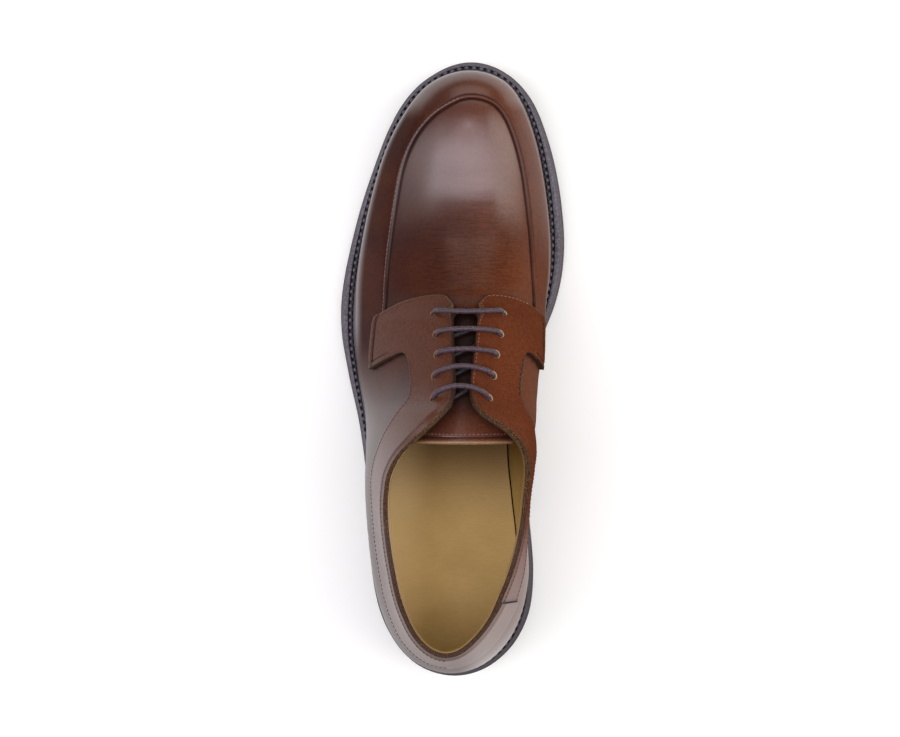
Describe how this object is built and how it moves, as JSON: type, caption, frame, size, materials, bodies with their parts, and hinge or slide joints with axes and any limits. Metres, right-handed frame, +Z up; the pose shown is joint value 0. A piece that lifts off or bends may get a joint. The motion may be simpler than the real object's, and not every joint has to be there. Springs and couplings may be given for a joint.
{
  "type": "derby shoe",
  "caption": "Left lace-up derby shoe with a raised apron seam, laced facings, collar band and storm welt on a lugged rubber sole with a block heel.",
  "frame": {"origin": "on the floor, below the middle of the shoe's bounding box", "axes": "+Y towards the toe, +X towards the medial side (the wearer's right, as this is the left shoe), +Z up"},
  "size_m": [0.1117, 0.303, 0.123],
  "materials": {
    "sole_rubber": "matt dark grey moulded rubber",
    "midsole_rubber": "matt grey rubber layer",
    "welt_rubber": "black welt with a soft sheen",
    "lining_leather": "smooth tan lining leather",
    "upper_leather": "polished red-brown leather",
    "tongue_leather": "brown leather",
    "lace_cord": "waxed dark brown cord"
  },
  "bodies": {
    "root": {"outsole": "sole_rubber", "heel": "sole_rubber", "midsole": "midsole_rubber", "welt": "welt_rubber", "insole": "lining_leather", "upper": "upper_leather", "facing_lateral": "upper_leather", "facing_medial": "upper_leather", "tongue": "tongue_leather", "lace_bar_1": "lace_cord", "lace_bar_2": "lace_cord", "lace_bar_3": "lace_cord", "lace_bar_4": "lace_cord", "lace_bar_5": "lace_cord"}
  },
  "joints": []
}
